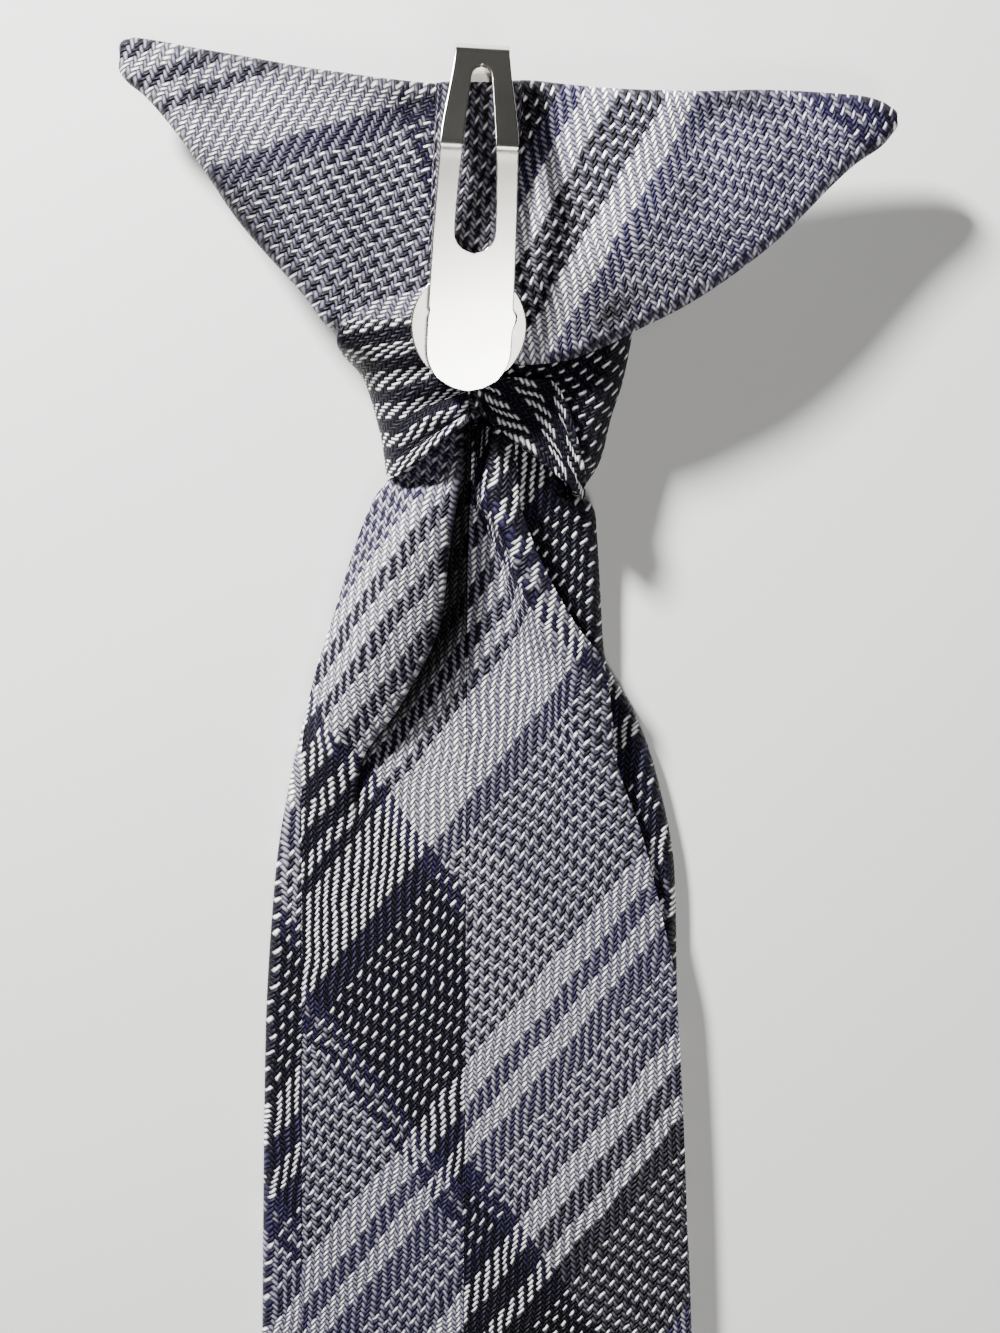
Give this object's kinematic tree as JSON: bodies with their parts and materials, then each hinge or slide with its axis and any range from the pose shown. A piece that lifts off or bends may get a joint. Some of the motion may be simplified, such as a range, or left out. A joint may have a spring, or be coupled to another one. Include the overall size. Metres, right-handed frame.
{
  "type": "clip on tie",
  "caption": "Pre-tied cloth necktie with a ready-made knot and a spring clip on the back that grips a collar band.",
  "frame": {"origin": "middle of the knot's flat front face, which the tie lies on", "axes": "+Y up the tie towards the clip's bend, +X to the right of someone who looks at its back, +Z out of the back"},
  "size_m": [0.0861, 0.2292, 0.0187],
  "materials": {
    "tie_cloth": "satin jacquard plaid weave in navy, silver and off-white",
    "clip_steel": "bright nickel plating with soft wear on its edges"
  },
  "bodies": {
    "root": {"knot_sleeve": "tie_cloth", "left_wing": "tie_cloth", "right_wing": "tie_cloth", "right_wrap": "tie_cloth", "centre_band": "tie_cloth", "clip": "clip_steel", "front_blade": "tie_cloth", "back_panel_left": "tie_cloth", "back_panel_right": "tie_cloth"}
  },
  "joints": []
}
